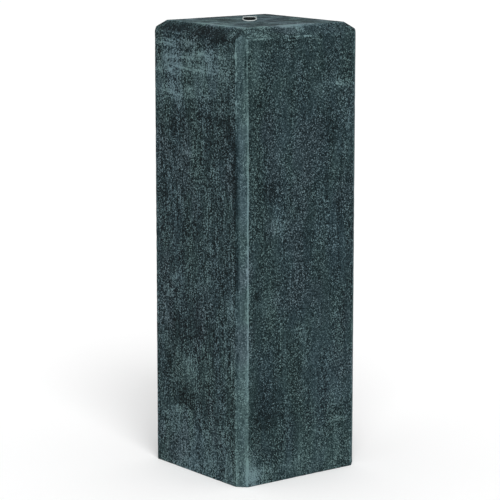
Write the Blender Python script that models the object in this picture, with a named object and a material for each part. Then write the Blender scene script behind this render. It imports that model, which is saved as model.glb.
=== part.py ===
"""Column base block: a tall square block of dark cast concrete that stands on its foot and carries
a post. Its upright arrises and its top edges are chamfered by the mould, and a threaded steel socket
for the post's fixing bolt is cast into the top.

Metres, +Z up. The origin is the middle of the foot. +X runs along the face at -Y, +Y along the face at -X.
"""
import math

import bmesh
import bpy
from mathutils import Vector

# Block
BLOCK_WIDTH = 0.200            # across the faces, along X
BLOCK_DEPTH = 0.200            # across the faces, along Y
BLOCK_HEIGHT = 0.600           # foot to top face
ARRIS_LEG = 0.012              # leg of the chamfer on each upright arris, along both faces
TOP_CHAMFER_IN = 0.0165        # how far the top chamfer comes in from each face
TOP_CHAMFER_DOWN = 0.0140      # how far it comes down each face
EDGE_RADIUS = 0.0012           # rounding left on every edge by the mould and by wear
EDGE_SEGMENTS = 2
EDGE_ANGLE = math.radians(20)  # edges that turn by more than this are rounded

# Cast-in socket
THREAD_DIAMETER = 0.016        # M16
THREAD_PITCH = 0.002
THREAD_DEPTH = 0.060           # from the rim of the sleeve to the floor of its bore
SLEEVE_WALL = 0.00175          # steel outside the thread's major diameter
SLEEVE_END = 0.0025            # solid steel under the drill point of the bore
SLEEVE_END_CHAMFER = 0.0015
LIP_HEIGHT = 0.0045            # how far the sleeve's rim stands above the concrete
LIP_ROUND = 0.0004
MOUTH_CLEARANCE = 0.0002       # plain mouth outside the thread's major diameter, on the radius
MOUTH_DEPTH = 0.0030           # from the rim down to where the thread starts
DRILL_POINT = math.radians(118)
SOCKET_OFFSET_X = -0.005       # the socket was cast a little away from the middle of the block
SOCKET_OFFSET_Y = 0.005
CAST_CLEARANCE = 0.0003        # between the sleeve and the concrete round it
CUT_OVERRUN = 0.010            # how far the pocket's cutter stands above the top face
ROUND_SIDES = 64               # sides of the sleeve and of its pocket
SHARP_ANGLE = math.radians(30) # the sleeve's edges that turn by more than this stay crisp
MERGE_DISTANCE = 1e-6

# Finishes: base colour, roughness, metallic
CONCRETE = ((0.055, 0.070, 0.074, 1.0), 0.88, 0.0)
ZINC = ((0.56, 0.59, 0.60, 1.0), 0.42, 0.9)


def clear_scene():
    """Take away whatever the file opened with."""
    for thing in list(bpy.data.objects):
        bpy.data.objects.remove(thing, do_unlink=True)


def make_material(name, finish):
    """A Principled material from a (colour, roughness, metallic) finish."""
    colour, roughness, metallic = finish
    material = bpy.data.materials.new(name)
    material.use_nodes = True
    shader = material.node_tree.nodes["Principled BSDF"]
    shader.inputs["Base Color"].default_value = colour
    shader.inputs["Roughness"].default_value = roughness
    shader.inputs["Metallic"].default_value = metallic
    material.diffuse_color = colour
    return material


def add_object(name, bm, material=None):
    """Turn a bmesh into an object of the scene."""
    bmesh.ops.recalc_face_normals(bm, faces=bm.faces)
    mesh = bpy.data.meshes.new(name)
    bm.to_mesh(mesh)
    bm.free()
    if material is not None:
        mesh.materials.append(material)
    thing = bpy.data.objects.new(name, mesh)
    bpy.context.scene.collection.objects.link(thing)
    return thing


def add_square_block(bm):
    """The block before its arrises are cut: a prism up to the chamfer, then the sloping top edges."""
    half_width = BLOCK_WIDTH / 2
    half_depth = BLOCK_DEPTH / 2
    shoulder = BLOCK_HEIGHT - TOP_CHAMFER_DOWN
    levels = (
        (half_width, half_depth, 0.0),
        (half_width, half_depth, shoulder),
        (half_width - TOP_CHAMFER_IN, half_depth - TOP_CHAMFER_IN, BLOCK_HEIGHT),
    )
    rings = []
    for x, y, z in levels:
        corners = ((-x, -y), (x, -y), (x, y), (-x, y))
        rings.append([bm.verts.new((cx, cy, z)) for cx, cy in corners])
    bm.faces.new(reversed(rings[0]))
    bm.faces.new(rings[-1])
    for lower, upper in zip(rings, rings[1:]):
        for i in range(4):
            j = (i + 1) % 4
            bm.faces.new((lower[i], lower[j], upper[j], upper[i]))


def cut_arrises(bm):
    """Plane off the four upright arrises, up through the sloping top edges, and close each cut."""
    for side_x in (-1, 1):
        for side_y in (-1, 1):
            outward = Vector((side_x, side_y, 0)).normalized()
            on_cut = Vector((side_x * (BLOCK_WIDTH / 2 - ARRIS_LEG), side_y * BLOCK_DEPTH / 2, 0))
            everything = bm.verts[:] + bm.edges[:] + bm.faces[:]
            cut = bmesh.ops.bisect_plane(
                bm, geom=everything, plane_co=on_cut, plane_no=outward, clear_outer=True)
            rim = [e for e in cut["geom_cut"] if isinstance(e, bmesh.types.BMEdge)]
            bmesh.ops.contextual_create(bm, geom=rim)


def sleeve_radius():
    """Outer radius of the sleeve."""
    return THREAD_DIAMETER / 2 + SLEEVE_WALL


def bore_radius():
    """Radius of the bore before it is threaded: the tapping drill is the thread less one pitch."""
    return (THREAD_DIAMETER - THREAD_PITCH) / 2


def bore_tip():
    """Height of the point that the drill leaves at the bottom of the bore."""
    point = bore_radius() / math.tan(DRILL_POINT / 2)
    return BLOCK_HEIGHT + LIP_HEIGHT - THREAD_DEPTH - point


def make_pocket_cutter():
    """The space that the sleeve takes up in the concrete, open above the top face."""
    bottom = bore_tip() - SLEEVE_END - CAST_CLEARANCE
    top = BLOCK_HEIGHT + CUT_OVERRUN
    radius = sleeve_radius() + CAST_CLEARANCE
    bm = bmesh.new()
    bmesh.ops.create_cone(
        bm, cap_ends=True, segments=ROUND_SIDES, radius1=radius, radius2=radius, depth=top - bottom)
    centre = Vector((SOCKET_OFFSET_X, SOCKET_OFFSET_Y, (top + bottom) / 2))
    bmesh.ops.translate(bm, verts=bm.verts, vec=centre)
    cutter = add_object("socket_pocket_cutter", bm)
    cutter.hide_render = True
    cutter.display_type = "WIRE"
    return cutter


def make_concrete_block():
    """The cast block: chamfered, its edges a little rounded, with the pocket round the socket."""
    bm = bmesh.new()
    add_square_block(bm)
    cut_arrises(bm)
    block = add_object("concrete_block", bm, make_material("dark_concrete", CONCRETE))

    rounding = block.modifiers.new("soft_edges", "BEVEL")
    rounding.width = EDGE_RADIUS
    rounding.segments = EDGE_SEGMENTS
    rounding.limit_method = "ANGLE"
    rounding.angle_limit = EDGE_ANGLE

    pocket = block.modifiers.new("socket_pocket", "BOOLEAN")
    pocket.operation = "DIFFERENCE"
    pocket.solver = "EXACT"
    pocket.object = make_pocket_cutter()
    return block


def sleeve_profile():
    """Half section of the sleeve as (radius, height), from the outside of its foot round to the floor
    of its bore. The thread itself is a finish; the bore has the diameter it is tapped from."""
    outer = sleeve_radius()
    bore = bore_radius()
    mouth = THREAD_DIAMETER / 2 + MOUTH_CLEARANCE
    foot = bore_tip() - SLEEVE_END
    rim = BLOCK_HEIGHT + LIP_HEIGHT
    return [
        (0.0, foot),
        (outer - SLEEVE_END_CHAMFER, foot),
        (outer, foot + SLEEVE_END_CHAMFER),
        (outer, rim - LIP_ROUND),
        (outer - LIP_ROUND, rim),
        (mouth, rim),
        (mouth, rim - MOUTH_DEPTH),
        (bore, rim - MOUTH_DEPTH - (mouth - bore)),
        (bore, rim - THREAD_DEPTH),
        (0.0, bore_tip()),
    ]


def make_threaded_socket():
    """The steel sleeve, turned from its half section."""
    bm = bmesh.new()
    points = [bm.verts.new((radius, 0.0, height)) for radius, height in sleeve_profile()]
    section = [bm.edges.new(pair) for pair in zip(points, points[1:])]
    bmesh.ops.spin(
        bm, geom=points + section, cent=(0, 0, 0), axis=(0, 0, 1), angle=math.tau,
        steps=ROUND_SIDES, use_merge=True)
    bmesh.ops.remove_doubles(bm, verts=bm.verts, dist=MERGE_DISTANCE)
    socket = add_object("threaded_socket", bm, make_material("zinc_plated_steel", ZINC))
    socket.location = (SOCKET_OFFSET_X, SOCKET_OFFSET_Y, 0.0)
    socket.data.shade_smooth()
    socket.data.set_sharp_from_angle(angle=SHARP_ANGLE)
    return socket


clear_scene()
make_concrete_block()
make_threaded_socket()
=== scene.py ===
"""Looks of the column base block: pitted dark concrete with worn arrises, and the threaded steel socket in
its top. Everything is in metres, +Z up, with the origin in the middle of the foot. The photographed corner
is the one at -X and -Y."""

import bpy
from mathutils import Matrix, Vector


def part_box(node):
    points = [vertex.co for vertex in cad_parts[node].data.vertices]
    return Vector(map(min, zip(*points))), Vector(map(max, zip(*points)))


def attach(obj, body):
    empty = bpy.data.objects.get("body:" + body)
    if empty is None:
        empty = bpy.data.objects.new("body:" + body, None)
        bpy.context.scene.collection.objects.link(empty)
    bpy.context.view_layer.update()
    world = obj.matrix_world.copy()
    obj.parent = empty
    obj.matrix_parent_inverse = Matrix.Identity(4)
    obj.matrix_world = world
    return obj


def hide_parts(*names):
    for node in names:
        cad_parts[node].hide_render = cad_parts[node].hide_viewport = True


bl_info = {
    "name": "Column Base Block",
    "version": (1, 0, 0),
    "blender": (4, 5, 0),
    "location": "3D View > Sidebar > Base Block",
    "description": "Cast concrete column base block with a threaded socket in its top",
    "category": "Add Mesh",
}

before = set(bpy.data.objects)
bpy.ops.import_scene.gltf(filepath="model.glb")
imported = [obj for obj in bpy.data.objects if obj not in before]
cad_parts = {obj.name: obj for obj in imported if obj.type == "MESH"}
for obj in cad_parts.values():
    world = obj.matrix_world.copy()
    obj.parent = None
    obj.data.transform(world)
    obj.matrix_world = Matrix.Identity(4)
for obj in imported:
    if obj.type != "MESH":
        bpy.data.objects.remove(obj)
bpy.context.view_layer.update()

import math

import bmesh
import bpy
import numpy as np
from bpy.props import FloatProperty, FloatVectorProperty, IntProperty, PointerProperty
from mathutils import Euler

BODY = "root"
MM = 0.001

BLOCK_LOW, BLOCK_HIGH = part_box("concrete_block")
SOCKET_LOW, SOCKET_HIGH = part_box("threaded_socket")
BLOCK_SIZE = BLOCK_HIGH - BLOCK_LOW
SOCKET_AXIS = (SOCKET_LOW + SOCKET_HIGH) / 2
SOCKET_RADIUS = (SOCKET_HIGH.x - SOCKET_LOW.x) / 2

MARK_DEPTH = 7 * MM                  # how far a mark reaches into the block and out of it
SLOPE_MARK_DEPTH = 24 * MM           # the same on a sloping top chamfer
EDGE_REACH = 2.5 * MM                # how far from an edge its wear reaches
PORE_SHADE_DEPTH = 1.8 * MM          # depth over which pores and chips are painted darker, as shade
CAST_CLEARANCE = 0.3 * MM            # between the sleeve and the concrete round it
SLEEVE_END = 2.5 * MM                # steel under the drill point
SLEEVE_END_CHAMFER = 1.5 * MM
WALL_SLACK = 0.12 * MM               # how near a wall a point counts as lying on it
CONCRETE_CREASE = math.radians(38)   # edges that turn by more than this stay crisp
STEEL_CREASE = math.radians(32)
SHADE_LENS_TURN = math.radians(37.5)      # heading of the painted shade on the rim's near side, clockwise from -Y seen from above
FLECK_MEAN = 0.264                   # mean of the flecks, which leaves the tone as it is on the whole
WAVES = ((60 * MM, 100, 0.35), (14 * MM, 200, 0.30), (5 * MM, 300, 0.35))  # size, seed, share
BITES = ((11 * MM, 400), (4.5 * MM, 401))  # size and seed of the patches where edges are worn most
SOFTEN_STEPS = 6                     # steps in which the true block's points move to the cast one
BUMPS_PER_METRE = 450.0              # on the balls that leave pores and chips
POCKET_SIDES = 96
SENSOR_WIDTH = 36.0                  # of the camera, in millimetres
MARK_CORE = 0.25                     # share of a mark's reach that has its full strength
BROAD_KINDS = ("cloud", "speckle", "smear")

# Marks on the concrete by face, in millimetres: across, up, half width, half height, turn in degrees,
# strength and what breaks the mark up. Left is the face at -X, across is Y. Right is the face at -Y, across
# is X. On the top, across is X and up is Y. Strengths over 0 are pale, like lime bloom, and under 0 dark.
MARKS = {}
MARKS["left"] = (
    # lime bloom and water marks at its head
    (46, 573, 66, 9, -2, 0.40, "smear"),
    (0, 559, 130, 9, -3, 0.36, "smear"),
    (20, 541, 110, 11, -3, 0.36, "smear"),
    (34, 510, 60, 13, -3, 0.36, "smear"),
    (24, 532, 100, 54, -4, 0.26, "cloud"),
    (66, 528, 20, 60, 0, 0.22, "cloud"),
    (-66, 544, 26, 34, 0, 0.22, "speckle"),
    (-44, 462, 70, 48, -8, -0.12, "cloud"),
    (20, 468, 60, 30, -8, -0.05, "cloud"),
    # knocks and scratches there
    (22, 578, 4.2, 2.6, 0, 0.60, "spot"),
    (20, 580.5, 2.4, 1.6, 0, -0.55, "spot"),
    (-4, 572, 2.2, 9.0, 58, 0.40, "line"),
    (1, 561, 5.0, 2.0, -14, 0.55, "spot"),
    (-9, 561, 3.6, 2.2, -14, 0.40, "spot"),
    (-4, 563, 2.4, 1.6, 0, -0.45, "spot"),
    (11, 553, 1.3, 6, 0, 0.22, "line"),
    (6, 536, 1.3, 8, 0, 0.22, "line"),
    (-46, 524, 1.2, 15, 0, 0.16, "line"),
    # dark and brownish patches
    (-58, 584, 36, 9, -8, -0.36, "cloud"),
    (45, 464, 16, 22, 0, -0.14, "cloud"),
    (-76, 470, 12, 28, 0, -0.24, "cloud"),
    (70, 381, 14, 34, 0, -0.16, "cloud"),
    (-25, 297, 8, 20, 0, -0.16, "cloud"),
    (10, 196, 74, 44, 0, -0.14, "cloud"),
    (66, 140, 16, 50, 0, -0.18, "cloud"),
    (20, 98, 56, 24, 0, -0.14, "cloud"),
    (2, 143, 40, 36, 0, 0.14, "cloud"),
    (48, 12, 26, 9, 20, -0.14, "cloud"),
    # pale speckled patches
    (14, 430, 22, 12, 0, 0.18, "speckle"),
    (34, 262, 22, 26, 0, 0.15, "speckle"),
    (14, 146, 26, 34, 0, 0.17, "speckle"),
    (37, 81, 16, 9, 0, 0.34, "speckle"),
    (70, 160, 10, 40, 0, 0.18, "speckle"),
    (-40, 60, 46, 26, 0, 0.12, "speckle"),
    # drips beside the arris
    (-80, 382, 2.0, 22, 0, 0.34, "line"),
    (-81.5, 290, 1.2, 58, 0, 0.26, "line"),
    (-78, 232, 14, 30, 0, 0.40, "cloud"),
    (-80.5, 160, 2.2, 56, 0, 0.34, "line"),
    (-50.5, 142, 1.6, 34, 0, 0.26, "line"),
    (-68, 145, 1.6, 34, 0, 0.26, "line"),
    (-32, 150, 1.4, 30, 0, 0.18, "line"),
    (25.5, 160, 1.8, 30, 0, 0.20, "line"),
    # beside the arris: crumbs at its head, then painted shade along the arris's left part and beside it
    (-88.6, 550, 1.3, 44, 0, 0.48, "line"),
    (-89, 498, 1.2, 22, 0, 0.34, "line"),
    (-89.5, 330, 5.0, 270, 0, -0.46, "cloud"),
    (-85, 420, 5.0, 120, 0, -0.16, "cloud"),
    # the foot
    (0, 34, 150, 56, 0, 0.14, "cloud"),
    (-30, 8, 120, 36, 0, 0.18, "cloud"),
    (40, 72, 50, 20, 0, 0.20, "speckle"),
)
MARKS["left slope"] = (
    # painted shade over the chamfer and along its top edge, a pale patch and crumbs
    (0, 594, 170, 14, 0, -0.40, "cloud"),
    (10, 599.0, 110, 1.8, 0, -0.55, "spot"),
    (-76, 592, 12, 8, 0, 0.50, "speckle"),
    (10, 594, 16, 6, 0, 0.30, "speckle"),
    (62, 587, 22, 1.6, 0, 0.30, "line"),
)
MARKS["right"] = (
    # beside the arris: a bright painted highlight along its edge, dark at its head, paler at its foot
    (-87.8, 300, 1.4, 290, 0, 0.50, "line"),
    (-87.8, 330, 0.9, 230, 0, 0.62, "spot"),
    (-90.4, 552, 1.4, 30, 0, -0.40, "spot"),
    (-93, 120, 8, 150, 0, 0.12, "cloud"),
    # the head of the face, with painted highlights along the foot of the top chamfer
    (-66, 586, 30, 1.6, 1, 0.44, "line"),
    (4, 586, 26, 2.0, 0, 0.70, "line"),
    (24, 581, 12, 2.6, 14, 0.34, "speckle"),
    (-74, 545, 22, 60, 0, 0.14, "cloud"),
    (60, 521, 26, 2.0, 11, 0.44, "line"),
    (64, 522, 36, 8, 8, 0.16, "cloud"),
    (52, 462, 18, 28, 0, -0.16, "cloud"),
    (44, 348, 9, 44, 0, 0.16, "cloud"),
    (64, 358, 10, 34, 0, -0.12, "cloud"),
    (6, 303, 110, 5, -2, 0.12, "smear"),
    (-68, 425, 12, 1.2, 3, 0.18, "line"),
    (-64, 474, 18, 1.4, -3, 0.16, "line"),
    (-11, 537, 7, 5, 0, 0.22, "speckle"),
    (13.6, 544.4, 2.0, 1.7, 0, 0.45, "spot"),
    (27, 543, 2.0, 1.7, 0, 0.45, "spot"),
    (48.8, 544, 2.0, 1.7, 0, 0.45, "spot"),
    (35.6, 512.3, 2.4, 1.9, 0, 0.45, "spot"),
    (34, 506, 2.0, 1.7, 0, 0.35, "spot"),
    (35, 514, 34, 14, 0, 0.12, "speckle"),
    (-70, 502, 7, 6, 0, -0.26, "spot"),
    (78, 470, 5, 30, 0, 0.16, "line"),
    # streaks, dark patches and crumbs
    (73.6, 436, 1.4, 16, 0, 0.26, "line"),
    (56.5, 437.7, 2.2, 1.8, 0, 0.45, "spot"),
    (56, 412.6, 2.0, 1.7, 0, 0.40, "spot"),
    (59.5, 387.7, 2.2, 1.8, 0, 0.40, "spot"),
    (43.5, 366.5, 2.0, 1.7, 0, 0.40, "spot"),
    (-13.8, 367, 2.2, 15, 0, 0.26, "line"),
    (0, 346, 1.4, 6, -30, 0.30, "line"),
    (-50, 388, 44, 26, 0, -0.12, "cloud"),
    (-38, 342, 26, 20, 0, 0.20, "speckle"),
    (5, 322, 9, 20, 0, -0.12, "cloud"),
    (-66, 291, 8, 6, 0, -0.24, "spot"),
    (-34.8, 210, 1.5, 46, 0, 0.34, "line"),
    (-14, 240, 1.4, 20, 0, 0.20, "line"),
    (58, 220, 1.6, 44, 2, 0.26, "line"),
    (56.5, 304, 6, 10, 0, 0.26, "speckle"),
    (53, 253, 4, 8, 0, 0.20, "cloud"),
    (73.8, 244, 2.2, 1.9, 0, 0.50, "spot"),
    (-73, 252, 6, 12, 0, -0.20, "cloud"),
    (-50, 239, 26, 26, 0, 0.18, "speckle"),
    (-2, 196, 22, 14, 0, 0.16, "speckle"),
    (-56, 105, 34, 50, 0, -0.15, "cloud"),
    (-62, 84, 30, 20, 0, -0.10, "cloud"),
    (-18, 131, 2.2, 1.9, 0, 0.45, "spot"),
    (-12.7, 119.4, 2.4, 1.7, 0, 0.45, "spot"),
    (0, 104.5, 2.6, 2.0, 0, 0.45, "spot"),
    (-38.7, 102.4, 2.2, 2.0, 0, 0.40, "spot"),
    (64, 106, 24, 22, 0, 0.16, "speckle"),
    (62, 70, 30, 6, 6, 0.36, "speckle"),
    # the foot
    (-82, 24, 16, 36, 0, 0.60, "cloud"),
    (-66, 14, 24, 18, 0, 0.30, "speckle"),
    (0, 14, 130, 26, 0, 0.16, "cloud"),
    (44, 42, 90, 34, 0, 0.12, "cloud"),
)
MARKS["right slope"] = (
    # pale lines, crumbs and bloom
    (-10, 598.6, 100, 1.2, 0, 0.24, "line"),
    (-70, 592, 34, 9, 0, 0.22, "cloud"),
    (4, 595, 12, 5, 0, 0.50, "speckle"),
    (-20, 597, 70, 2.0, 0, 0.20, "smear"),
)
MARKS["top"] = (
    # worn front margins, bloom and darker ground
    (-81, -20, 9, 90, 0, 0.60, "cloud"),
    (-10, -81, 90, 9, 0, 0.60, "cloud"),
    (72, 60, 14, 60, 0, -0.24, "cloud"),
    (-10, 80, 60, 9, 0, -0.60, "cloud"),
    (-50, 78, 16, 20, 0, 0.24, "speckle"),
    (-34, 30, 26, 26, 0, -0.16, "cloud"),
    (46, -30, 34, 26, 0, -0.16, "cloud"),
    (-60, 4, 22, 22, 0, 0.14, "cloud"),
)


def metres(name, description, default):
    """A setting in metres."""
    return FloatProperty(name=name, description=description, default=default, unit="LENGTH")


def degrees(name, description, default):
    """A setting that is an angle, given in degrees."""
    return FloatProperty(name=name, description=description, default=math.radians(default), subtype="ANGLE")


def number(name, description, default):
    """A setting without a unit."""
    return FloatProperty(name=name, description=description, default=default)


def paint(name, description, default):
    """A setting that is a linear colour."""
    return FloatVectorProperty(name=name, description=description, default=default, subtype="COLOR")


def tint(name, description, default):
    """A setting that multiplies a colour; 1 leaves a channel as it is."""
    return FloatVectorProperty(name=name, description=description, default=default)


class BlockSettings(bpy.types.PropertyGroup):
    """Form and finish of the cast block."""

    arris_leg: metres("Arris chamfer", "Leg of the chamfer on each upright arris", 0.012)
    top_in: metres("Top chamfer in", "How far the top chamfer comes in from each face", 0.0165)
    top_down: metres("Top chamfer down", "How far the top chamfer comes down each face", 0.0140)
    edge_softness: metres("Edge softness", "Rounding of the edges left by the mould", 0.0004)
    wave: metres("Face waviness", "How far the faces waver below true", 0.00032)
    grid: metres("Grid", "Spacing of the mesh on the open faces", 0.0038)
    edge_grid: metres("Edge grid", "Spacing of the mesh at the edges", 0.0008)
    pore_density: number("Pores per square metre", "How many air pores the surface shows", 900.0)
    pore_radius: metres("Largest pore", "Radius of the largest air pore", 0.0021)
    chip_density: number("Chips per square metre of edge", "How thickly the edges are chipped", 16000.0)
    chip_radius: metres("Largest chip", "Radius of the largest edge chip", 0.0026)
    seed: IntProperty(name="Seed", description="Chooses the pattern of pores and chips", default=7)
    tone: number("Tone", "Lightness of the concrete, from 0 for darkest to 1 for palest", 0.352)
    # the pores and chips reach this colour through painted shade
    dark: paint("Dark", "Colour of the pores and of the deep grain", (0.0098, 0.0208, 0.0238))
    body: paint("Body", "Colour of the middle tone", (0.0268, 0.0476, 0.0532))
    pale: paint("Pale", "Colour of lime bloom, worn edges and crumbs", (0.130, 0.197, 0.208))
    green_tint: tint("Green tint", "Tints the mossy patches", (0.97, 1.02, 0.96))
    blue_tint: tint("Blue tint", "Tints the slaty patches", (0.97, 0.99, 1.05))
    purple_tint: tint("Purple tint", "Tints the few warm patches", (1.04, 0.98, 1.03))


class SocketSettings(bpy.types.PropertyGroup):
    """Form and finish of the cast-in socket."""

    thread_diameter: metres("Thread", "Major diameter of the thread", 0.016)
    pitch: metres("Pitch", "Pitch of the thread", 0.002)
    mouth_clearance: metres("Mouth clearance", "Plain mouth outside the thread, on the radius", 0.0002)
    mouth_depth: metres("Mouth depth", "From the rim down to where the thread starts", 0.0030)
    thread_depth: metres("Thread depth", "From the rim down to the drill point", 0.060)
    lip_round: metres("Lip rounding", "Rounding of the rim's outer edge", 0.0006)
    # below this depth the bore is painted black, as painted shade over its dark oxide; above it the zinc
    # keeps its own colour
    bright_depth: metres("Bright depth", "How far down the mouth the zinc is rubbed bright", 0.0005)
    sides: IntProperty(name="Sides", description="Facets round the sleeve", default=96)
    zinc: paint("Zinc", "Colour of the zinc coating", (0.90, 0.97, 0.95))
    # near-black of the painted shade: a lens on the rim's near side and lip, and the bore, where it lies over
    # dark oxide
    painted_shade: paint("Painted shade", "Colour of the bore and of the grime on the rim", (0.004, 0.006, 0.006))
    slurry: paint("Slurry", "Colour of the cement left on the rim's sides", (0.075, 0.105, 0.108))


class StageSettings(bpy.types.PropertyGroup):
    """Floor, lights and camera."""

    camera_place: FloatVectorProperty(
        name="Camera place", description="Where the camera stands", subtype="TRANSLATION",
        default=(-1.8570, -2.4039, 0.8466))
    camera_turn: degrees("Camera turn", "Heading of the camera, clockwise from +Y seen from above", 37.563)
    camera_dip: degrees("Camera dip", "How far the camera looks down", 10.346)
    lens: number("Lens", "Focal length in millimetres", 165.44)
    floor_size: metres("Floor size", "Side of the square floor", 60.0)
    floor_colour: paint("Floor colour", "Colour of the floor", (0.95, 0.95, 0.95))
    sky: number("Sky", "Strength of the even light all round", 0.66)
    sun: number("Sun", "Strength of the soft key light", 2.0)
    sun_turn: degrees("Key turn", "Where the key light stands, clockwise from -Y seen from above", 30)
    sun_height: degrees("Key height", "How high the key light stands", 46)
    sun_width: degrees("Key width", "Angle that the key light fills", 32)


def settings():
    """The scene's settings of every group."""
    scene = bpy.context.scene
    return scene.base_block_form, scene.base_block_socket, scene.base_block_stage


class NodeTree:
    """Small helper that adds nodes to a tree and links them by socket."""

    def __init__(self, tree):
        self.tree = tree

    def add(self, kind, inputs=None, **values):
        """Add a node; values are its properties, inputs its sockets by name or number."""
        node = self.tree.nodes.new(kind)
        for name, value in values.items():
            setattr(node, name, value)
        for key, value in (inputs or {}).items():
            self.feed(node.inputs[key], value)
        return node

    def feed(self, socket, value):
        """Link an output to a socket, or set the socket's own value."""
        if isinstance(value, bpy.types.NodeSocket):
            self.tree.links.new(value, socket)
        else:
            socket.default_value = value

    def make(self, kind, inputs=None, **values):
        """Add a node and return its first output."""
        return self.add(kind, inputs, **values).outputs[0]

    def math(self, operation, *values, clamp=False):
        """The result of a Math node."""
        return self.make("ShaderNodeMath", dict(enumerate(values)), operation=operation, use_clamp=clamp)

    def times(self, first, second):
        """The product of two numbers."""
        return self.math("MULTIPLY", first, second)

    def total(self, start, shares):
        """A number plus each pattern times its strength."""
        for pattern, strength in shares:
            start = self.math("MULTIPLY_ADD", pattern, strength, start)
        return start

    def scaled(self, vector, factor):
        """A vector times a number."""
        return self.make("ShaderNodeVectorMath", {0: vector, "Scale": factor}, operation="SCALE")

    def spread(self, value, low, high, to_low=0.0, to_high=1.0, smooth=True):
        """A number mapped from low..high to to_low..to_high."""
        places = dict(enumerate((value, low, high, to_low, to_high)))
        return self.make(
            "ShaderNodeMapRange", places, interpolation_type="SMOOTHSTEP" if smooth else "LINEAR")


def node_group(name, kind, output, **inputs):
    """A node group with one output, given as (name, kind), and inputs given as names by kind. Returns its
    helper and the outputs of its input node."""
    tree = bpy.data.node_groups.new(name, kind + "NodeTree")
    for socket, labels in inputs.items():
        for label in labels:
            tree.interface.new_socket(name=label, in_out="INPUT", socket_type="NodeSocket" + socket)
    tree.interface.new_socket(name=output[0], in_out="OUTPUT", socket_type="NodeSocket" + output[1])
    n = NodeTree(tree)
    return n, n.add("NodeGroupInput").outputs


class ShaderTree(NodeTree):
    """Helper for a material: patterns on Object coordinates."""

    def __init__(self, material):
        material.use_nodes = True
        super().__init__(material.node_tree)
        self.shader = self.tree.nodes["Principled BSDF"]
        self.coords = self.add("ShaderNodeTexCoord").outputs["Object"]

    def place(self, stretch, shift):
        """Object coordinates, stretched and shifted."""
        return self.make("ShaderNodeMapping", {"Vector": self.coords, "Scale": stretch, "Location": shift})

    def noise(self, size, stretch=(1, 1, 1), shift=(0, 0, 0), detail=2.0, rough=0.5):
        """Soft noise from 0 to 1 whose blobs measure about size; stretch under 1 draws them out."""
        return self.make("ShaderNodeTexNoise", {
            "Vector": self.place(stretch, shift), "Scale": 1 / size, "Detail": detail, "Roughness": rough})

    def scatter(self, size, stretch=(1, 1, 1), shift=(0, 0, 0)):
        """A scatter of points about size apart: the outputs give the nearest one's distance and colour."""
        return self.add("ShaderNodeTexVoronoi", {
            "Vector": self.place(stretch, shift), "Scale": 1 / size, "Randomness": 1.0}).outputs

    def flecks(self, size, stretch, shift):
        """Soft round grains about size apart, each with its own random strength from 0 to 1."""
        nearest = self.scatter(size, stretch, shift)
        chance = self.make("ShaderNodeSeparateColor", {"Color": nearest["Color"]})
        return self.times(chance, self.spread(nearest["Distance"], 0.95, 0.40))

    def centred(self, pattern):
        """A pattern that runs from 0 to 1, moved to run about 0."""
        return self.math("SUBTRACT", pattern, 0.5)

    def attribute(self, name):
        """A number that the mesh carries."""
        return self.add("ShaderNodeAttribute", attribute_name=name).outputs["Fac"]

    def blend(self, factor, first, second, how="MIX"):
        """Two colours mixed, or multiplied, by a factor."""
        node = self.add("ShaderNodeMix", data_type="RGBA", blend_type=how)
        colours = [socket for socket in node.inputs if socket.type == "RGBA"]
        self.feed(node.inputs[0], factor)
        for socket, colour in zip(colours, (first, second)):
            self.feed(socket, colour)
        return next(socket for socket in node.outputs if socket.type == "RGBA")

    def ramp(self, value, stops):
        """A colour ramp through (position, colour) stops."""
        node = self.add("ShaderNodeValToRGB", {"Fac": value})
        elements = node.color_ramp.elements
        while len(elements) < len(stops):
            elements.new(0.5)
        for element, (position, colour) in zip(elements, stops):
            element.position = position
            element.color = (*colour, 1.0)
        return node.outputs["Color"]

    def shade(self, relief, strength, distance, **values):
        """Feed the shader: a bump from a relief, and its other inputs by name with _ for a space."""
        bump = self.make("ShaderNodeBump", {"Height": relief, "Strength": strength, "Distance": distance})
        self.feed(self.shader.inputs["Normal"], bump)
        for name, value in values.items():
            self.feed(self.shader.inputs[name.replace("_", " ")], value)


def mix_colours(first, second, share):
    """A colour that lies share of the way from first to second."""
    return tuple(a + (b - a) * share for a, b in zip(first, second))


def marks_of(kinds):
    """Each mark of these kinds as its centre, half sizes and turn along X, Y and Z, in metres and radians,
    with its strength and its kind."""
    for face, marks in MARKS.items():
        depth = SLOPE_MARK_DEPTH if "slope" in face else MARK_DEPTH
        for across, up, half_width, half_height, turn, strength, kind in marks:
            if kind not in kinds:
                continue
            across, up, half_width, half_height = (v * MM for v in (across, up, half_width, half_height))
            turn = math.radians(turn)
            if face.startswith("left"):
                frame_of_mark = (BLOCK_LOW.x, across, up), (depth, half_width, half_height), (turn, 0, 0)
            elif face.startswith("right"):
                frame_of_mark = (across, BLOCK_LOW.y, up), (half_width, depth, half_height), (0, turn, 0)
            else:
                frame_of_mark = (across, up, BLOCK_HIGH.z), (half_width, half_height, depth), (0, 0, turn)
            yield *frame_of_mark, strength, kind


def broad_marks(points, kind):
    """The summed strength at each point of the marks of one kind."""
    total = np.zeros(len(points))
    for centre, size, turn, strength, _ in marks_of((kind,)):
        local = (points - centre) @ np.array(Euler(turn).to_matrix()) / size
        inside = np.clip((1 - np.linalg.norm(local, axis=1)) / (1 - MARK_CORE), 0, 1)
        total += strength * inside * inside * (3 - 2 * inside)
    return total


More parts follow.
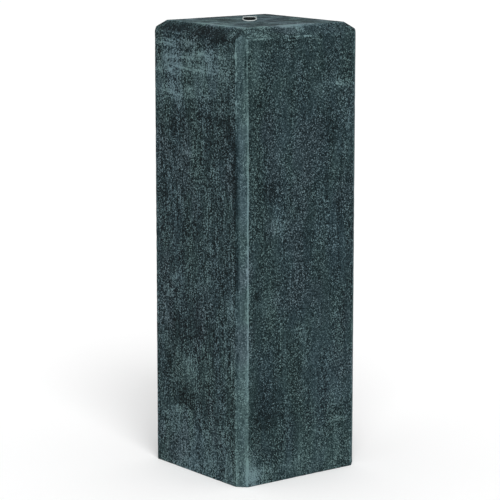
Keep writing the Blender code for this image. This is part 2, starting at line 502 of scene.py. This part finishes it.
def soft_mark_tree():
    """A node group that adds one soft-edged mark to a tone."""
    n, source = node_group(
        "Soft Mark", "Shader", ("Tone", "Float"),
        Float=("Tone", "Strength", "Breakup"), Vector=("Place", "Centre", "Turn", "Size"))
    local = n.make("ShaderNodeMapping", {
        "Vector": source["Place"], "Location": source["Centre"], "Rotation": source["Turn"],
        "Scale": source["Size"]}, vector_type="TEXTURE")
    length = n.add("ShaderNodeVectorMath", {0: local}, operation="LENGTH").outputs["Value"]
    mask = n.spread(length, 1.0, MARK_CORE, 0.0, source["Strength"])
    n.add("NodeGroupOutput", {"Tone": n.total(source["Tone"], ((mask, source["Breakup"]),))})
    return n.tree


def add_fine_marks(t, tone, breakups):
    """Add the marks that are finer than the mesh to a tone; returns the new tone."""
    tree = soft_mark_tree()
    for centre, size, turn, strength, kind in marks_of(breakups):
        node = t.add("ShaderNodeGroup", node_tree=tree)
        for name, value in (("Centre", centre), ("Size", size), ("Turn", turn), ("Place", t.coords),
                            ("Tone", tone), ("Strength", strength), ("Breakup", breakups[kind])):
            t.feed(node.inputs[name], value)
        tone = node.outputs["Tone"]
    return tone


def concrete_speckle(t, grain, streak_zones):
    """Fine speckle about 0: grain, flecks and upright hairs, calmer on the arrises and on the top. Returns
    it with the patches that it is rough in."""
    upper, arris, weathered = (t.attribute(name) for name in ("upper", "arris", "weathered"))
    flecks = t.math("POWER", t.flecks(0.0012, (1.0, 0.80, 0.80), (0.21, 0.13, 0.4)), 1.6)
    hairs = t.noise(0.0017, (1.0, 0.80, 0.12), shift=(2.71, 5.23, 0.0), detail=1.0, rough=0.6)
    rough_zones = t.spread(
        t.noise(0.014, (1, 1, 0.35), shift=(2.2, 6.1, 3.0), detail=1.0), 0.36, 0.56, 0.60, 1.0)
    hair_strength = t.total(t.times(streak_zones, 0.35), ((arris, 0.30), (weathered, 0.52)))
    speckle = t.total(t.spread(grain, 0.30, 0.70, -1.0, 1.0, smooth=False), (
        (t.math("SUBTRACT", flecks, FLECK_MEAN), 3.8),
        (t.spread(hairs, 0.34, 0.66, -1.0, 1.0), hair_strength),
    ))
    calm = t.total(1.0, ((arris, -0.45), (upper, -0.55), (weathered, 0.10)))
    return t.times(speckle, t.times(rough_zones, calm)), rough_zones


def concrete_tone(t, form, grain, streaks):
    """Lightness of the concrete, from 0 to 1: its clouds, streaks and grain, then wear and marks, with
    painted light on the arrises, chamfers and top and painted shade in the pores and chips.
    """
    upper = t.attribute("upper")
    clouds = t.noise(0.080, (1, 1, 0.4))
    blotches = t.noise(0.026, (1, 1, 0.4), shift=(3.1, 1.7, 0.4))
    streak_zones = t.spread(t.noise(0.050, (1, 1, 0.5), shift=(7.7, 0.2, 2.0)), 0.40, 0.60, 0.30, 1.0)
    speckle, rough_zones = concrete_speckle(t, grain, streak_zones)
    crumbs = t.spread(t.scatter(0.0075, shift=(0.11, 0.37, 0.23))["Distance"], 0.17, 0.08)
    crumb_zones = t.spread(t.noise(0.016, shift=(9.1, 3.3, 1.0), detail=1.0), 0.50, 0.62)
    top_sheen_patches = t.spread(t.noise(0.022, shift=(8.2, 0.5, 0.0), rough=0.8), 0.38, 0.62, -1.0, 1.0)
    worn = t.spread(t.noise(0.010, shift=(1.1, 4.2, 0.0), detail=3.0, rough=0.6), 0.46, 0.64)
    smeared = t.noise(0.0060, (0.22, 0.22, 1.3), shift=(3.7, 7.1, 0.2), rough=0.7)
    patchy = t.noise(0.0028, (1, 1, 0.55), shift=(4.4, 0.6, 0.2), detail=1.0)
    tone = t.total(form.tone, (
        (t.centred(clouds), 0.24),
        (t.centred(blotches), 0.14),
        (t.times(t.centred(streaks), streak_zones), 0.50),
        (speckle, 0.27),
        (t.math("SUBTRACT", rough_zones, 0.8), -0.10),
        (t.times(crumbs, crumb_zones), 0.36),
        (t.attribute("weathered"), -0.035),
        # painted light on the facets: the arrises much paler, the top chamfers a little paler
        (t.attribute("arris"), 0.31),
        (t.attribute("chamfer"), 0.06),
        # painted sheen on the top: lighter all over, and lighter and darker in patches
        (upper, 0.25),
        (t.times(upper, top_sheen_patches), 0.17),
        (t.times(t.attribute("edge"), worn), 0.36),
        (t.attribute("smear"), t.spread(smeared, 0.36, 0.64, 0.0, 2.0)),
        (t.attribute("cloud"), t.spread(blotches, 0.30, 0.62, 0.35, 1.25)),
        (t.attribute("speckle"), t.spread(grain, 0.42, 0.60, 0.0, 1.8)),
    ))
    tone = add_fine_marks(t, tone, {"line": t.spread(patchy, 0.36, 0.58, 0.1, 1.2), "spot": 1.0})
    # painted shade: pores and chips darker the deeper they are sunk
    return t.math("MULTIPLY_ADD", t.attribute("sunk"), -0.30, tone, clamp=True)


def concrete_tint(t, form):
    """A faint tint that runs from green to blue, with a few purple patches."""
    cool = t.spread(t.noise(0.045, (1, 1, 0.35), shift=(1.9, 8.3, 0.7), detail=3.0, rough=0.6), 0.34, 0.66)
    purple = t.spread(t.noise(0.060, (1, 1, 0.6), shift=(5.5, 2.3, 1.7)), 0.52, 0.68)
    mossy = t.blend(cool, (*form.green_tint, 1.0), (*form.blue_tint, 1.0))
    return t.blend(purple, mossy, (*form.purple_tint, 1.0))


def concrete_material(form):
    """Dark concrete: cloudy tone, upright streaks and speckle, pores with painted shade, pale worn edges and
    bloom, and painted light on the arrises, chamfers and top.
    """
    material = bpy.data.materials.new("dark_concrete")
    t = ShaderTree(material)
    grain = t.noise(0.0014, (1.0, 0.80, 0.62), shift=(0.31, 0.92, 0.1), detail=1.0, rough=0.6)
    streaks = t.noise(0.0090, (1, 0.76, 0.04), shift=(0.7, 0.2, 0.0), rough=0.6)
    tone = t.ramp(concrete_tone(t, form, grain, streaks), (
        (0.00, mix_colours((0, 0, 0), form.dark, 0.3)),
        (0.25, form.dark),
        (0.50, form.body),
        (0.75, mix_colours(form.body, form.pale, 0.34)),
        (1.00, form.pale),
    ))
    fine = t.noise(0.0012, (1.0, 0.85, 1.0), shift=(5.3, 2.9, 1.3), detail=1.0, rough=0.6)
    t.shade(
        t.total(grain, ((fine, 0.5), (streaks, 0.5))), 0.55, 0.7 * MM,
        Base_Color=t.blend(1.0, tone, concrete_tint(t, form), "MULTIPLY"),
        Roughness=t.spread(grain, 0.2, 0.8, 0.95, 0.80, smooth=False),
        Specular_IOR_Level=0.10)
    return material


def rim_shade_and_slurry(t, height):
    """How much painted shade and how much slurry the rim carries, each from 0 to 1. The painted shade is a
    black lens on its near side and the lip above that, and slurry lies beside the lens. Away is -1 at the
    near side and 1 at the far side."""
    centred = t.place((1, 1, 1), (-SOCKET_AXIS.x, -SOCKET_AXIS.y, 0))
    axis = (math.sin(SHADE_LENS_TURN) / SOCKET_RADIUS, math.cos(SHADE_LENS_TURN) / SOCKET_RADIUS, 0)
    away = t.add("ShaderNodeVectorMath", {0: centred, 1: axis}, operation="DOT_PRODUCT").outputs["Value"]
    sideways = t.math("SQRT", t.math("SUBTRACT", 1.0, t.math("POWER", away, 2.0), clamp=True))
    middle = (BLOCK_HIGH.z + SOCKET_HIGH.z) / 2
    half = (SOCKET_HIGH.z - BLOCK_HIGH.z) / 2
    level = t.math("DIVIDE", t.math("SUBTRACT", height, middle), half)

    lens = t.math("POWER", t.math("DIVIDE", sideways, 0.88), 2.0)
    for half_lens, reach in (("MINIMUM", 0.60), ("MAXIMUM", 1.6)):
        part = t.math("DIVIDE", t.math(half_lens, level, 0.0), reach)
        lens = t.math("ADD", lens, t.math("POWER", part, 2.0))
    wall = t.attribute("outside")
    # painted shade: a lens on the near side of the wall, and the near lip above it
    on_wall = t.times(t.spread(lens, 0.84, 1.10, 1.0, 0.0), wall)
    near_lip = t.times(t.spread(away, -0.25, -0.50), t.spread(sideways, 0.92, 0.78))
    painted_shade = t.math("MAXIMUM", on_wall, t.times(near_lip, t.math("SUBTRACT", 1.0, wall)))

    corners = t.math("ADD", t.math("POWER", sideways, 2.0), t.math("POWER", level, 2.0))
    return painted_shade, t.times(t.spread(corners, 0.98, 1.12), wall)


def zinc_material(sockets):
    """Zinc, bright at the far lip and the rim's foot, with painted shade between them on the near side, and
    black in the bore: painted shade over dark oxide.
    """
    material = bpy.data.materials.new("zinc_plated_steel")
    t = ShaderTree(material)
    spangle = t.scatter(0.0032, shift=(0.4, 0.1, 0.0))["Distance"]
    dull = t.noise(0.0022)
    tone = t.math("MULTIPLY_ADD", spangle, 0.35, t.times(dull, 0.6), clamp=True)
    height = t.add("ShaderNodeSeparateXYZ", {"Vector": t.coords}).outputs["Z"]
    painted_shade, slurry = rim_shade_and_slurry(t, t.total(height, ((t.centred(dull), 0.8 * MM),)))
    # the bore is painted black: painted shade over its dark oxide
    inside = t.attribute("inside")
    black = (*sockets.painted_shade, 1.0)
    coat = t.blend(tone, (*mix_colours(sockets.zinc, (0, 0, 0), 0.15), 1.0), (*sockets.zinc, 1.0))
    # painted shade: the lens on the rim's near side is made black
    coat = t.blend(painted_shade, coat, black)
    coat = t.blend(slurry, coat, (*sockets.slurry, 1.0))
    shade_and_slurry = t.math("MAXIMUM", inside, t.math("MAXIMUM", painted_shade, slurry))
    t.shade(
        dull, 0.3, 0.2 * MM,
        Base_Color=t.blend(inside, coat, black),
        Metallic=t.total(0.35, ((shade_and_slurry, -0.35),)),
        Roughness=t.total(0.50, ((shade_and_slurry, 0.30),)),
        Specular_IOR_Level=0.10)
    return material


def lattice_noise(points, size, seed):
    """Smooth noise from 0 to 1 at each point, with blobs of about size, from a seeded lattice."""
    cells = 32
    lattice = np.random.default_rng(seed).random((cells, cells, cells))
    scaled = points / size + 100.0
    cell = np.floor(scaled).astype(int)
    part = scaled - cell
    part = part * part * (3 - 2 * part)
    total = np.zeros(len(points))
    for step in np.ndindex(2, 2, 2):
        corner = lattice[tuple(((cell + step) % cells).T)]
        total += corner * np.prod(np.where(step, part, 1 - part), axis=1)
    return total


def block_planes(form):
    """The block's planes as outward normals, distances from the origin and what each one is."""
    shoulder = BLOCK_HIGH.z - form.top_down
    slope = math.hypot(form.top_in, form.top_down)
    planes = []
    for axis, half, kind in ((0, BLOCK_SIZE.x / 2, "weathered"), (1, BLOCK_SIZE.y / 2, "face")):
        for side in (-1, 1):
            face = np.zeros(3)
            face[axis] = side
            sloping = face * form.top_down + (0, 0, form.top_in)
            reach = form.top_down * half + form.top_in * shoulder
            planes.append((face, half, kind))
            planes.append((sloping / slope, reach / slope, "chamfer"))
    corner = (BLOCK_SIZE.x / 2 + BLOCK_SIZE.y / 2 - form.arris_leg) / math.sqrt(2)
    for side_x in (-1, 1):
        for side_y in (-1, 1):
            planes.append((np.array((side_x, side_y, 0)) / math.sqrt(2), corner, "arris"))
    planes.append(((0, 0, 1), BLOCK_HIGH.z, "upper"))
    planes.append(((0, 0, -1), 0.0, "foot"))
    normals, distances, kinds = zip(*planes)
    return np.array(normals), np.array(distances), np.array(kinds)


def graded(length, fine, coarse, run):
    """Places from 0 to 1 along a length, fine at both ends and coarse in the middle."""
    places = [0.0]
    while places[-1] < length / 2:
        closeness = min(places[-1] / run, 1.0)
        places.append(places[-1] + fine + (coarse - fine) * closeness)
    half = np.array(places) / places[-1] / 2
    return np.concatenate([half, 1 - half[-2::-1]])


def block_ring(half_x, half_y, leg, z, side_x, side_y, across):
    """One ring round the block, anticlockwise from above: four sides and four corner chamfers. The
    side lists hold places from 0 to 1 along a side and across those over a corner."""
    x, y = half_x - leg, half_y - leg
    outline = np.array((
        (-x, -half_y, z), (x, -half_y, z), (half_x, -y, z), (half_x, y, z),
        (x, half_y, z), (-x, half_y, z), (-half_x, y, z), (-half_x, -y, z)))
    ends = np.roll(outline, -1, axis=0)
    points = []
    for start, end, places in zip(outline, ends, (side_x, across, side_y, across) * 2):
        points += [start + (end - start) * s for s in places[:-1]]
    return points


def block_grid(form):
    """The block as a grid of quads that is finer at the edges, before it is worn."""
    half_x, half_y = BLOCK_SIZE.x / 2, BLOCK_SIZE.y / 2
    leg, fine, coarse = form.arris_leg, form.edge_grid, form.grid
    run = 3 * coarse
    side_x = graded(BLOCK_SIZE.x - 2 * leg, fine, coarse, run)
    side_y = graded(BLOCK_SIZE.y - 2 * leg, fine, coarse, run)
    across = graded(leg * math.sqrt(2), fine, coarse / 2, leg / 2)
    shoulder = BLOCK_HIGH.z - form.top_down
    up = graded(shoulder, fine, coarse, run) * shoulder
    slope = graded(math.hypot(form.top_in, form.top_down), fine, coarse * 0.7, leg)
    foot = graded(leg, fine, coarse, leg)

    levels = [(s * leg, leg * (1 - s), 0.0) for s in foot[::-1]]
    levels += [(0.0, leg, z) for z in up[1:]]
    levels += [(s * form.top_in, max(leg - 2 * s * form.top_in, 0.0), shoulder + s * form.top_down)
               for s in slope[1:]]
    bm = bmesh.new()
    rings = []
    for inset, corner, z in levels:
        ring = block_ring(half_x - inset, half_y - inset, corner, z, side_x, side_y, across)
        rings.append([bm.verts.new(p) for p in ring])
    for lower, upper in zip(rings, rings[1:]):
        for corners in zip(lower, lower[1:] + lower[:1], upper[1:] + upper[:1], upper):
            bm.faces.new(corners)
    for inset, z, upward in ((leg, 0.0, False), (form.top_in, BLOCK_HIGH.z, True)):
        add_cap(bm, half_x - inset, half_y - inset, z, side_x, side_y, upward)
    bmesh.ops.remove_doubles(bm, verts=bm.verts, dist=1e-5)
    bmesh.ops.recalc_face_normals(bm, faces=bm.faces)
    return bm


def add_cap(bm, half_x, half_y, z, side_x, side_y, upward):
    """Close the top or the foot with a grid that meets the ring round it."""
    rows = [[bm.verts.new(((2 * s - 1) * half_x, (2 * r - 1) * half_y, z)) for s in side_x] for r in side_y]
    for low, high in zip(rows, rows[1:]):
        for i in range(len(low) - 1):
            corners = (low[i], low[i + 1], high[i + 1], high[i])
            bm.faces.new(corners if upward else reversed(corners))


def wear_block(points, form):
    """Move the points of the true block in to the cast one: faces waver, edges are softened unevenly."""
    normals, distances, _ = block_planes(form)
    wave = np.zeros((len(points), len(normals)))
    for i in range(len(normals)):
        wave[:, i] = form.wave * sum(
            share * lattice_noise(points, size, seed + i) for size, seed, share in WAVES)
    bitten = math.prod(lattice_noise(points, size, seed) for size, seed in BITES)
    softness = form.edge_softness * (0.6 + 3.2 * np.clip(bitten - 0.22, 0, 1) ** 1.2)
    for _ in range(SOFTEN_STEPS):
        scaled = (points @ normals.T - distances + wave) / softness[:, None]
        peak = scaled.max(axis=1, keepdims=True)
        weights = np.exp(scaled - peak)
        total = weights.sum(axis=1, keepdims=True)
        outside = softness * (peak[:, 0] + np.log(total[:, 0]))
        direction = (weights / total) @ normals
        direction /= np.maximum(np.linalg.norm(direction, axis=1, keepdims=True), 0.5)
        points = points - direction * outside[:, None]
    return points


def read_points(mesh):
    """The mesh's vertices as an array."""
    flat = np.empty(len(mesh.vertices) * 3)
    mesh.vertices.foreach_get("co", flat)
    return flat.reshape(-1, 3)


def write_points(mesh, points):
    """Put an array back into the mesh's vertices."""
    mesh.vertices.foreach_set("co", points.astype(np.float32).ravel())
    mesh.update()


def store_number(mesh, name, values):
    """Keep one number for each vertex in the mesh, under a name that materials and nodes read."""
    attribute = mesh.attributes.get(name) or mesh.attributes.new(name, "FLOAT", "POINT")
    attribute.data.foreach_set("value", values.astype(np.float32))


def mark_surface(mesh, form):
    """Store for each vertex how near it is to an edge of the true block, how far it is sunk below the true
    surface, whether it is on an arris, a top chamfer, the top or one of the two weathered sides, and how
    strong the broad marks are there."""
    points = read_points(mesh)
    normals, distances, kinds = block_planes(form)
    depths = points @ normals.T - distances
    ordered = np.sort(depths, axis=1)
    nearest = kinds[depths.argmax(axis=1)]
    store_number(mesh, "edge", np.clip(1 + ordered[:, -2] / EDGE_REACH, 0, 1))
    store_number(mesh, "sunk", np.clip(-ordered[:, -1] / PORE_SHADE_DEPTH - 0.35, 0, 1))
    for kind in ("chamfer", "arris", "upper", "weathered"):
        store_number(mesh, kind, nearest == kind)
    for kind in BROAD_KINDS:
        store_number(mesh, kind, broad_marks(points, kind))


def geometry_tree(name, **inputs):
    """A geometry node group that takes a mesh, a material and these inputs."""
    return node_group(
        name, "Geometry", ("Geometry", "Geometry"), Geometry=("Geometry",), Material=("Material",), **inputs)


def finish_tree(n, geometry, material):
    """Give a group's mesh its material and put it out."""
    finished = n.make("GeometryNodeSetMaterial", {"Geometry": geometry, "Material": material})
    n.add("NodeGroupOutput", {"Geometry": n.make("GeometryNodeRealizeInstances", {"Geometry": finished})})
    return n.tree


def combine(n, operation, first, others):
    """The mesh that a Boolean makes of these; a union has no first mesh."""
    node = n.add("GeometryNodeMeshBoolean", first, operation=operation, solver="MANIFOLD")
    for mesh in others:
        n.feed(node.inputs["Mesh 2"], mesh)
    return node.outputs["Mesh"]


def scatter_balls(n, source, density, radius, seed, smallest, skew, flatness, lift):
    """Uneven balls scattered over the block: radii run from smallest to 1 times radius."""
    spread = n.add("GeometryNodeDistributePointsOnFaces", {
        "Mesh": source["Geometry"], "Density": density,
        "Seed": n.math("ADD", source["Seed"], seed)}).outputs
    dice = n.add("FunctionNodeRandomValue", {"Seed": seed}, data_type="FLOAT").outputs[1]
    share = n.math("MULTIPLY_ADD", n.math("POWER", dice, skew), 1 - smallest, smallest)
    kept = n.add("GeometryNodeCaptureAttribute", {"Geometry": spread["Points"]})
    kept.capture_items.new("FLOAT", "Size")
    n.feed(kept.inputs["Size"], n.times(share, radius))
    size = kept.outputs["Size"]
    placed = n.make("GeometryNodeSetPosition", {
        "Geometry": kept.outputs["Geometry"], "Offset": n.scaled(spread["Normal"], n.times(size, lift))})
    stretch = n.make("FunctionNodeRandomValue", {
        "Min": (0.75, 0.75, flatness * 0.8), "Max": (1.2, 1.2, flatness * 1.2), "Seed": seed + 1},
        data_type="FLOAT_VECTOR")
    balls = n.make("GeometryNodeInstanceOnPoints", {
        "Points": placed, "Rotation": spread["Rotation"], "Scale": n.scaled(stretch, size),
        "Instance": n.make("GeometryNodeMeshIcoSphere", {"Radius": 1.0, "Subdivisions": 2})})
    here = n.make("GeometryNodeInputPosition")
    bumps = n.add("ShaderNodeTexNoise", {
        "Vector": here, "Scale": BUMPS_PER_METRE, "Detail": 1.0}).outputs["Color"]
    centred = n.make("ShaderNodeVectorMath", {0: bumps, 1: (0.5, 0.5, 0.5)}, operation="SUBTRACT")
    return n.make("GeometryNodeSetPosition", {
        "Geometry": n.make("GeometryNodeRealizeInstances", {"Geometry": balls}),
        "Offset": n.scaled(centred, n.times(size, 1.3))})


def pitting_tree():
    """Geometry nodes that press air pores into the faces, break chips off the edges and cut the pocket.
    Pores and chips are uneven balls that a Boolean takes out of the block."""
    n, source = geometry_tree(
        "Pitted Concrete",
        Float=("Pore Density", "Pore Radius", "Chip Density", "Chip Radius", "Pocket Radius", "Pocket Depth"),
        Vector=("Pocket Centre",), Int=("Seed",))
    edge = n.make("GeometryNodeInputNamedAttribute", {"Name": "edge"})
    open_face = n.math("LESS_THAN", edge, 0.05)
    pores = scatter_balls(
        n, source, n.times(source["Pore Density"], open_face), source["Pore Radius"],
        seed=1, smallest=0.22, skew=3.0, flatness=0.8, lift=0.15)
    on_edge = n.math("POWER", edge, 2.0)
    chips = scatter_balls(
        n, source, n.times(source["Chip Density"], on_edge), source["Chip Radius"],
        seed=11, smallest=0.18, skew=3.5, flatness=0.7, lift=0.45)
    drill = n.make("GeometryNodeMeshCylinder", {
        "Vertices": POCKET_SIDES, "Radius": source["Pocket Radius"],
        "Depth": n.times(source["Pocket Depth"], 2.0)})
    pocket = n.make("GeometryNodeTransform", {"Geometry": drill, "Translation": source["Pocket Centre"]})
    cut = combine(n, "DIFFERENCE", {"Mesh 1": source["Geometry"]}, (pores, chips, pocket))
    return finish_tree(n, cut, source["Material"])


def thread_tree():
    """Geometry nodes that wind the thread's ridge round the bore and join it to the sleeve."""
    n, source = geometry_tree(
        "Threaded Sleeve", Float=("Major Radius", "Pitch", "Length"), Vector=("Thread Foot",))
    pitch = source["Pitch"]
    helix = n.make("GeometryNodeCurveSpiral", {
        "Resolution": 48, "Rotations": n.math("DIVIDE", source["Length"], pitch),
        "Start Radius": source["Major Radius"], "End Radius": source["Major Radius"],
        "Height": source["Length"]})
    ridge = n.make("GeometryNodeCurvePrimitiveQuadrilateral", {
        "Height": n.times(pitch, 0.66), "Bottom Width": n.times(pitch, 0.92),
        "Top Width": n.times(pitch, 0.22), "Offset": 0.0}, mode="TRAPEZOID")
    swept = n.make("GeometryNodeCurveToMesh", {
        "Curve": n.make("GeometryNodeSetCurveNormal", {"Curve": helix}, mode="Z_UP"),
        "Profile Curve": n.make("GeometryNodeTransform", {
            "Geometry": ridge, "Rotation": (0, 0, math.pi / 2)}),
        "Fill Caps": True})
    placed = n.make("GeometryNodeTransform", {"Geometry": swept, "Translation": source["Thread Foot"]})
    joined = combine(n, "UNION", None, (source["Geometry"], placed))
    return finish_tree(n, joined, source["Material"])


def run_nodes(thing, tree, values):
    """Run a geometry node group on an object and keep the result as a plain mesh."""
    modifier = thing.modifiers.new(tree.name, "NODES")
    modifier.node_group = tree
    for item in tree.interface.items_tree:
        if item.in_out == "INPUT" and item.name in values:
            modifier[item.identifier] = values[item.name]
    evaluated = thing.evaluated_get(bpy.context.evaluated_depsgraph_get())
    mesh = bpy.data.meshes.new_from_object(evaluated)
    thing.modifiers.remove(modifier)
    thing.data = mesh


def mesh_from(name, bm):
    """A mesh from a bmesh, which is freed."""
    mesh = bpy.data.meshes.new(name)
    bm.to_mesh(mesh)
    bm.free()
    return mesh


def add_object(name, data):
    """A new object at the origin with this mesh, lamp or lens."""
    thing = bpy.data.objects.new(name, data)
    bpy.context.scene.collection.objects.link(thing)
    return thing


def crisp_edges(mesh, angle):
    """Smooth shading that stays crisp where faces turn by more than an angle."""
    mesh.shade_smooth()
    mesh.set_sharp_from_angle(angle=angle)


class BASEBLOCK_OT_cast_block(bpy.types.Operator):
    """Make the pitted, chamfered concrete block"""

    bl_idname = "base_block.cast_block"
    bl_label = "Cast block"

    def execute(self, context):
        form, _, _ = settings()
        mesh = mesh_from("concrete_block_cast", block_grid(form))
        write_points(mesh, wear_block(read_points(mesh), form))
        mark_surface(mesh, form)
        block = add_object("concrete_block_cast", mesh)
        run_nodes(block, pitting_tree(), {
            "Pore Density": form.pore_density,
            "Pore Radius": form.pore_radius,
            "Chip Density": form.chip_density,
            "Chip Radius": form.chip_radius,
            "Pocket Radius": SOCKET_RADIUS + CAST_CLEARANCE,
            "Pocket Depth": BLOCK_HIGH.z - SOCKET_LOW.z + CAST_CLEARANCE,
            "Pocket Centre": (SOCKET_AXIS.x, SOCKET_AXIS.y, BLOCK_HIGH.z),
            "Seed": form.seed,
            "Material": concrete_material(form),
        })
        mark_surface(block.data, form)
        crisp_edges(block.data, CONCRETE_CREASE)
        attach(block, BODY)
        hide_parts("concrete_block")
        return {"FINISHED"}


def arc(centre, radius, start, end, count):
    """Points on an arc of a half section, without its first: centre as (radius, height), angles from
    outward, turning up."""
    angles = np.linspace(start, end, count)[1:]
    return [(centre[0] + radius * math.cos(a), centre[1] + radius * math.sin(a)) for a in angles]


def sleeve_section(sockets):
    """Half section of the sleeve as (radius, height), from the outside of its foot round to the drill
    point, with its bore at the thread's major diameter."""
    outer = SOCKET_RADIUS
    major = sockets.thread_diameter / 2
    mouth = major + sockets.mouth_clearance
    foot, rim = SOCKET_LOW.z, SOCKET_HIGH.z
    lip = sockets.lip_round
    inner = lip / 2
    bright = rim - sockets.bright_depth
    thread_top = rim - sockets.mouth_depth
    section = [(0.0, foot), (outer - SLEEVE_END_CHAMFER, foot), (outer, foot + SLEEVE_END_CHAMFER)]
    section += [(outer, rim - lip), *arc((outer - lip, rim - lip), lip, 0, math.pi / 2, 6)]
    section += [(mouth + inner, rim), *arc((mouth + inner, rim - inner), inner, math.pi / 2, math.pi, 5)]
    section += [(mouth, bright + 0.1 * MM), (mouth, bright - 0.1 * MM), (mouth, thread_top)]
    section += [(major, thread_top - 0.2 * MM), (major, rim - sockets.thread_depth), (0.0, foot + SLEEVE_END)]
    return section


def sleeve_mesh(sockets):
    """The sleeve turned from its half section."""
    bm = bmesh.new()
    points = [bm.verts.new((radius, 0.0, height)) for radius, height in sleeve_section(sockets)]
    outline = [bm.edges.new(pair) for pair in zip(points, points[1:])]
    bmesh.ops.spin(
        bm, geom=points + outline, cent=(0, 0, 0), axis=(0, 0, 1), angle=math.tau,
        steps=sockets.sides, use_merge=True)
    bmesh.ops.remove_doubles(bm, verts=bm.verts, dist=1e-6)
    bmesh.ops.translate(bm, verts=bm.verts, vec=(SOCKET_AXIS.x, SOCKET_AXIS.y, 0))
    bmesh.ops.recalc_face_normals(bm, faces=bm.faces)
    return mesh_from("threaded_socket_sleeve", bm)


class BASEBLOCK_OT_socket(bpy.types.Operator):
    """Make the threaded steel sleeve that is cast into the top"""

    bl_idname = "base_block.socket"
    bl_label = "Threaded socket"

    def execute(self, context):
        _, sockets, _ = settings()
        major = sockets.thread_diameter / 2
        pitch = sockets.pitch
        sleeve = add_object("threaded_socket_sleeve", sleeve_mesh(sockets))
        run_nodes(sleeve, thread_tree(), {
            "Major Radius": major - pitch * 0.28,
            "Pitch": pitch,
            "Length": sockets.thread_depth - sockets.mouth_depth - 2 * pitch,
            "Thread Foot": (SOCKET_AXIS.x, SOCKET_AXIS.y, SOCKET_HIGH.z - sockets.thread_depth + pitch),
            "Material": zinc_material(sockets),
        })
        points = read_points(sleeve.data)
        radius = np.hypot(points[:, 0] - SOCKET_AXIS.x, points[:, 1] - SOCKET_AXIS.y)
        in_bore = radius < major + sockets.mouth_clearance + WALL_SLACK
        below = points[:, 2] < SOCKET_HIGH.z - sockets.bright_depth
        store_number(sleeve.data, "inside", in_bore & below)
        store_number(sleeve.data, "outside", radius > SOCKET_RADIUS - WALL_SLACK)
        crisp_edges(sleeve.data, STEEL_CREASE)
        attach(sleeve, BODY)
        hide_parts("threaded_socket")
        return {"FINISHED"}


def add_floor(stage):
    """The pale floor."""
    bm = bmesh.new()
    bmesh.ops.create_grid(bm, x_segments=1, y_segments=1, size=stage.floor_size / 2)
    floor = add_object("floor", mesh_from("floor", bm))
    material = bpy.data.materials.new("floor_paint")
    material.use_nodes = True
    shader = material.node_tree.nodes["Principled BSDF"]
    shader.inputs["Base Color"].default_value = (*stage.floor_colour, 1)
    shader.inputs["Roughness"].default_value = 0.9
    floor.data.materials.append(material)


def studio_world(stage):
    """Even white light all round."""
    world = bpy.data.worlds.new("studio")
    world.use_nodes = True
    background = world.node_tree.nodes["Background"]
    background.inputs["Strength"].default_value = stage.sky
    background.inputs["Color"].default_value = (1, 1, 1, 1)
    return world


def add_sun(stage):
    """A wide soft key light."""
    lamp = bpy.data.lights.new("key", "SUN")
    lamp.energy = stage.sun
    lamp.angle = stage.sun_width
    add_object("key", lamp).rotation_euler = (math.pi / 2 - stage.sun_height, 0, -stage.sun_turn)


def add_camera(stage):
    """The camera, where the photograph was taken from."""
    lens = bpy.data.cameras.new("camera")
    lens.lens = stage.lens
    lens.sensor_width = SENSOR_WIDTH
    lens.clip_start = 0.05
    camera = add_object("camera", lens)
    camera.location = stage.camera_place
    camera.rotation_euler = (math.pi / 2 - stage.camera_dip, 0, -stage.camera_turn)
    bpy.context.scene.camera = camera


class BASEBLOCK_OT_stage(bpy.types.Operator):
    """Make the pale floor, the soft lights and the camera"""

    bl_idname = "base_block.stage"
    bl_label = "Stage"

    def execute(self, context):
        _, _, stage = settings()
        add_floor(stage)
        context.scene.world = studio_world(stage)
        add_sun(stage)
        context.scene.view_settings.view_transform = "Standard"
        add_camera(stage)
        return {"FINISHED"}


class BASEBLOCK_PT_panel(bpy.types.Panel):
    """Lists the parts of the base block"""

    bl_label = "Base Block"
    bl_idname = "BASEBLOCK_PT_panel"
    bl_space_type = "VIEW_3D"
    bl_region_type = "UI"
    bl_category = "Base Block"

    def draw(self, context):
        for group, operator in zip(settings(), OPERATORS):
            box = self.layout.box()
            for name in group.bl_rna.properties.keys():
                if name not in {"rna_type", "name"}:
                    box.prop(group, name)
            box.operator(operator.bl_idname)


OPERATORS = (BASEBLOCK_OT_cast_block, BASEBLOCK_OT_socket, BASEBLOCK_OT_stage)
CLASSES = (BlockSettings, SocketSettings, StageSettings, *OPERATORS, BASEBLOCK_PT_panel)


def register():
    """Register the classes and attach the settings to the scene."""
    for item in CLASSES:
        bpy.utils.register_class(item)
    bpy.types.Scene.base_block_form = PointerProperty(type=BlockSettings)
    bpy.types.Scene.base_block_socket = PointerProperty(type=SocketSettings)
    bpy.types.Scene.base_block_stage = PointerProperty(type=StageSettings)


def unregister():
    """Take the settings and the classes away again."""
    del bpy.types.Scene.base_block_form
    del bpy.types.Scene.base_block_socket
    del bpy.types.Scene.base_block_stage
    for item in reversed(CLASSES):
        bpy.utils.unregister_class(item)


def main():
    """Make every piece and the stage."""
    register()
    bpy.ops.base_block.cast_block()
    bpy.ops.base_block.socket()
    bpy.ops.base_block.stage()


if __name__ == "__main__":
    main()
